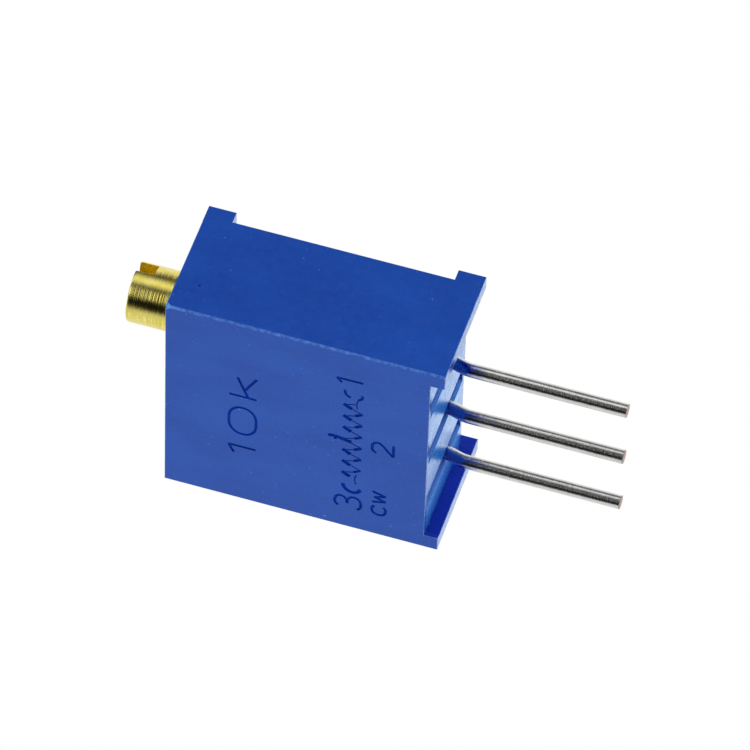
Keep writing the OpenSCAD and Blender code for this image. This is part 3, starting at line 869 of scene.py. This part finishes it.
RESISTIVE_TONES = rgb(0.018, 0.020, 0.021), rgb(0.045, 0.050, 0.050)
SILVER_TONES = rgb(0.50, 0.50, 0.48), rgb(0.66, 0.66, 0.64)
CLIP_TONES = rgb(0.66, 0.52, 0.20), rgb(0.78, 0.62, 0.28)
WIPER_TONES = rgb(0.66, 0.54, 0.30), rgb(0.80, 0.68, 0.40)


def dress(names, finish):
    """Gives parts that keep their CAD mesh a finish."""
    for name in names:
        for slot in nodes[name].material_slots:
            slot.material = finish


build_housing()
build_base_plate()
tin, copper = tinned_wire(), sheared_copper()
for name in ("lead_1", "lead_2", "lead_3"):
    build_lead(name, tin, copper)
build_screw()

dress(["end_seal"], cast_resin())
dress(["solder_joint_1", "solder_joint_2", "solder_joint_3"], bright_solder())
dress(["ceramic_plate"], fired_alumina())
dress(["resistive_track"], printed_film("resistive_film", RESISTIVE_TONES, metallic=0.0))
dress(["collector_track", "ccw_conductor", "cw_conductor"],
      printed_film("silver_film", SILVER_TONES, metallic=1.0))
dress(["retaining_clip"], rolled_spring("spring_brass", CLIP_TONES))
dress(["wiper"], rolled_spring("wiper_spring", WIPER_TONES))
dress(["o_ring"], silicone())
dress(["carriage"], natural_nylon())


# ---------------------------------------------------------------- studio

CAMERA_SIDE = -38.36  # where the camera is, round from X (degrees)
AIM_Z = 2.5

# name, degrees round from the camera's side, distance, height, width and height of the lamp (mm), power (W)
LAMPS = [
    ("front_lamp", -3, 300, 190, 150, 110, 0.03),
    ("overhead_lamp", -60, 180, 340, 220, 220, 0.08),
]

# angle round from the camera's side (degrees), brightness of the room there
ROOM = [
    (-180, 1.0), (-115, 0.84), (-92, 0.80), (-80, 0.80), (-70, 0.60), (-63, 0.22), (-56, 0.025),
    (-42, 0.006), (-31, 0.012), (-22, 0.04), (0, 0.065), (20, 0.09), (28, 0.22), (35, 0.60),
    (43, 1.02), (51, 1.1), (57, 0.92), (64, 0.56), (70, 0.28), (78, 0.11), (86, 0.09), (97, 0.28),
    (106, 0.60), (117, 0.92), (130, 1.0), (180, 1.0),
]

# the high window over the camera: its turn from the camera's side, where its side edges begin and end
# (degrees), and how it brightens and darkens with height
WINDOW_TURN, WINDOW_EDGE = 3, (12, 24)
WINDOW_RISE = (0.22, 0.34, 0.0, 0.95)
WINDOW_FALL = (0.52, 0.66, 1.0, 0.0)

# ceiling and ground of the room: where they set in, and their brightness; and how much of an even
# white room diffuse light sees in place of it all
CEILING_RISE, CEILING = (0.7, 0.95), rgb(0.85, 0.85, 0.85)
EVEN_SHARE, WHITE = 0.85, rgb(1, 1, 1)

# the floor: half its side (m), its tones, its glow for other rays and for the camera's
FLOOR_HALF, FLOOR_GREYS = 0.6, (rgb(0.80, 0.80, 0.80), rgb(0.84, 0.84, 0.84))
FLOOR_GLOW = 0.30, 0.28
# what a reflection sees of the floor: its tint, its brightness by the distance from the part (m), darker near
# the part as a painted shade, and where it looks through it, by the distance towards the camera (m)
FLOOR_TINT, FLOOR_MIRRORED = rgb(0.86, 0.95, 1.0), (0.008, 0.018, 0.34, 2.0)
FLOOR_OPENS = 0.0, 0.004


def facing(degrees_round, distance, height):
    """Place and turn of a lamp at an angle from the camera's side that faces the part."""
    angle = math.radians(CAMERA_SIDE + degrees_round)
    place = Vector((distance * math.cos(angle), distance * math.sin(angle), height)) * MM
    turn = (Vector((0, 0, AIM_Z * MM)) - place).to_track_quat("-Z", "Y")
    return Matrix.Translation(place) @ turn.to_matrix().to_4x4()


def soft_lamp(name, matrix, wide, tall, power):
    """A lamp that lights the part and isn't seen itself."""
    data = bpy.data.lights.new(name, "AREA")
    data.shape = "RECTANGLE"
    data.size, data.size_y, data.energy = wide * MM, tall * MM, power
    lamp = place_object(name, data)
    lamp.matrix_world = matrix
    lamp.visible_camera = False


def light_room():
    """White behind the part and dark on the camera's side, with soft windows between."""
    world = bpy.data.worlds.new("room")
    bpy.context.scene.world = world
    world.use_nodes = True
    tree = world.node_tree
    background = tree.nodes["Background"]
    way = add(tree, "ShaderNodeTexCoord").outputs["Generated"]
    turned = add(tree, "ShaderNodeMapping",
                 {"Vector": way, "Rotation": (0, 0, math.radians(-CAMERA_SIDE))}).outputs[0]
    x, y, height = axes(tree, turned)
    angle = math_node(tree, "ARCTAN2", y, x)
    ramp = add(tree, "ShaderNodeValToRGB", {"Fac": spread(tree, angle, -math.pi, math.pi)})
    stops = ramp.color_ramp.elements
    for degrees_round, _ in ROOM[1:-1]:
        stops.new((degrees_round + 180) / 360)
    for stop, (_, level) in zip(stops, ROOM):
        stop.color = rgb(level, level, level)
    off_window = math_node(tree, "ABSOLUTE", math_node(tree, "ADD", angle, math.radians(WINDOW_TURN)))
    sides = spread(tree, off_window, *map(math.radians, WINDOW_EDGE), to_low=1, to_high=0)
    window = math_node(tree, "MULTIPLY", sides, spread(tree, height, *WINDOW_RISE))
    window = math_node(tree, "MULTIPLY", window, spread(tree, height, *WINDOW_FALL))
    walls = math_node(tree, "ADD", ramp.outputs[0], window)
    ceiling = spread(tree, math_node(tree, "ABSOLUTE", height), *CEILING_RISE)
    room = blend_colour(tree, ceiling, walls, CEILING)
    ray = add(tree, "ShaderNodeLightPath").outputs
    even = math_node(tree, "MULTIPLY", ray["Is Diffuse Ray"], EVEN_SHARE)
    share = math_node(tree, "MAXIMUM", ray["Is Camera Ray"], even)
    tree.links.new(blend_colour(tree, share, room, WHITE), background.inputs["Color"])
    background.inputs["Strength"].default_value = 1.0


def floor_finish():
    """Pale and matt, clear from below, where the camera stands. Reflections see it darker near
    the part, and towards the camera's side they look through it."""
    finish = bpy.data.materials.new("floor")
    finish.use_nodes = True
    tree = finish.node_tree
    tree.nodes.clear()
    place = add(tree, "ShaderNodeTexCoord").outputs["Object"]
    ray = add(tree, "ShaderNodeLightPath").outputs
    pale = blend_colour(tree, noise(tree, place, scale=40.0, detail=2.0), *FLOOR_GREYS)
    matt = add(tree, "ShaderNodeBsdfDiffuse", {"Color": pale}).outputs[0]
    strength = spread(tree, ray["Is Camera Ray"], 0, 1, *FLOOR_GLOW)
    glow = add(tree, "ShaderNodeEmission", {"Strength": strength}).outputs[0]
    lit = add(tree, "ShaderNodeAddShader", {0: matt, 1: glow}).outputs[0]
    x, y, _ = axes(tree, place)
    mirrored = add(tree, "ShaderNodeEmission", {
        "Color": FLOOR_TINT, "Strength": spread(tree, off_axis(tree, x, y), *FLOOR_MIRRORED)}).outputs[0]
    toward = math.radians(CAMERA_SIDE)
    ahead = math_node(tree, "ADD", math_node(tree, "MULTIPLY", x, math.cos(toward)),
                      math_node(tree, "MULTIPLY", y, math.sin(toward)))
    dark_side = math_node(tree, "MULTIPLY", spread(tree, ahead, *FLOOR_OPENS), ray["Is Glossy Ray"])
    side = add(tree, "ShaderNodeNewGeometry").outputs["Backfacing"]
    open_way = math_node(tree, "MAXIMUM", side, dark_side)
    seen = add(tree, "ShaderNodeMixShader", {0: ray["Is Glossy Ray"], 1: lit, 2: mirrored}).outputs[0]
    clear = add(tree, "ShaderNodeBsdfTransparent").outputs[0]
    both = add(tree, "ShaderNodeMixShader", {0: open_way, 1: seen, 2: clear}).outputs[0]
    add(tree, "ShaderNodeOutputMaterial", {"Surface": both})
    return finish


def lay_floor():
    """A wide floor under the lead tips."""
    bm = bmesh.new()
    bmesh.ops.create_grid(bm, x_segments=4, y_segments=4, size=FLOOR_HALF)
    bmesh.ops.translate(bm, vec=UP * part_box("lead_1")[0].z, verts=bm.verts)
    mesh = bpy.data.meshes.new("floor")
    bm.to_mesh(mesh)
    bm.free()
    mesh.materials.append(floor_finish())
    floor = place_object("floor", mesh)


light_room()
lay_floor()
for name, degrees_round, distance, height, wide, tall, power in LAMPS:
    soft_lamp(name, facing(degrees_round, distance, height), wide, tall, power)

bpy.context.scene.view_settings.view_transform = "Standard"
